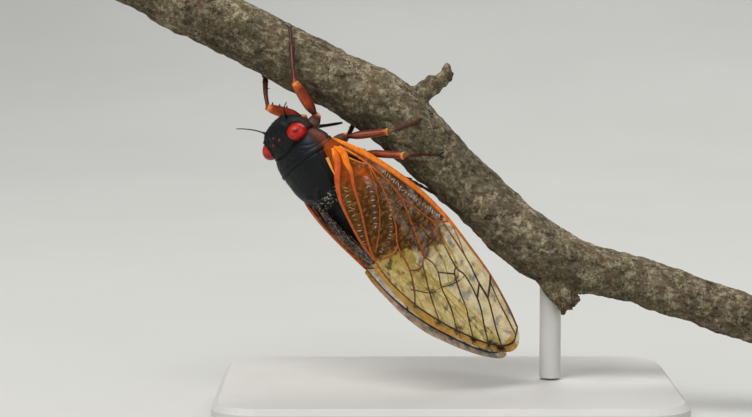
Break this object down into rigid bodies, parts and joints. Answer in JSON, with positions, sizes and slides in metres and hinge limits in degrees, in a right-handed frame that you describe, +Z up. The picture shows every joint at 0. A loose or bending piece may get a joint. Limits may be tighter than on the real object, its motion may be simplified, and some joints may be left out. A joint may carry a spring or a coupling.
{
  "type": "life-size periodical cicada model clinging to a cut length of branch on a display stand",
  "caption": "Still life-size model of a periodical cicada with closed wings, gripping a short cut branch that a plain flat display stand holds up.",
  "frame": {"origin": "centre of the underside of the stand's base, on the surface that it stands on", "axes": "+X runs along the length of the stand towards the branch's low end, +Y away from the viewer of the animal's back and right wing, +Z up"},
  "size_m": [0.0936, 0.042, 0.0664],
  "materials": {
    "shell": "glossy black insect shell with a faint blue sheen and fine punctures",
    "eye": "glossy red eye with a darker middle",
    "leg": "satin orange-red legs with darker joints, shins and feet",
    "wing": "clear amber membrane with orange to brown veins",
    "bark": "rough grey-brown bark with lichen blotches",
    "stand": "plain pale satin display stand"
  },
  "bodies": {
    "root": {"head": "shell", "eye_left": "eye", "eye_right": "eye", "antenna_left": "shell", "antenna_right": "shell", "beak": "shell", "pronotum": "shell", "mesonotum": "shell", "thorax": "shell", "abdomen": "shell", "forewing_left": "wing", "forewing_right": "wing", "hindwing_left": "wing", "hindwing_right": "wing", "leg_fore_right_femur": "leg", "leg_fore_right_tibia": "leg", "leg_fore_left_femur": "leg", "leg_fore_left_tibia": "leg", "leg_mid_right_femur": "leg", "leg_mid_right_tibia": "leg", "leg_mid_left_femur": "leg", "leg_mid_left_tibia": "leg", "leg_hind_right_femur": "leg", "leg_hind_right_tibia": "leg", "leg_hind_left_femur": "leg", "leg_hind_left_tibia": "leg", "perch": "bark", "stand_base": "stand", "stand_rod": "stand"}
  },
  "joints": []
}
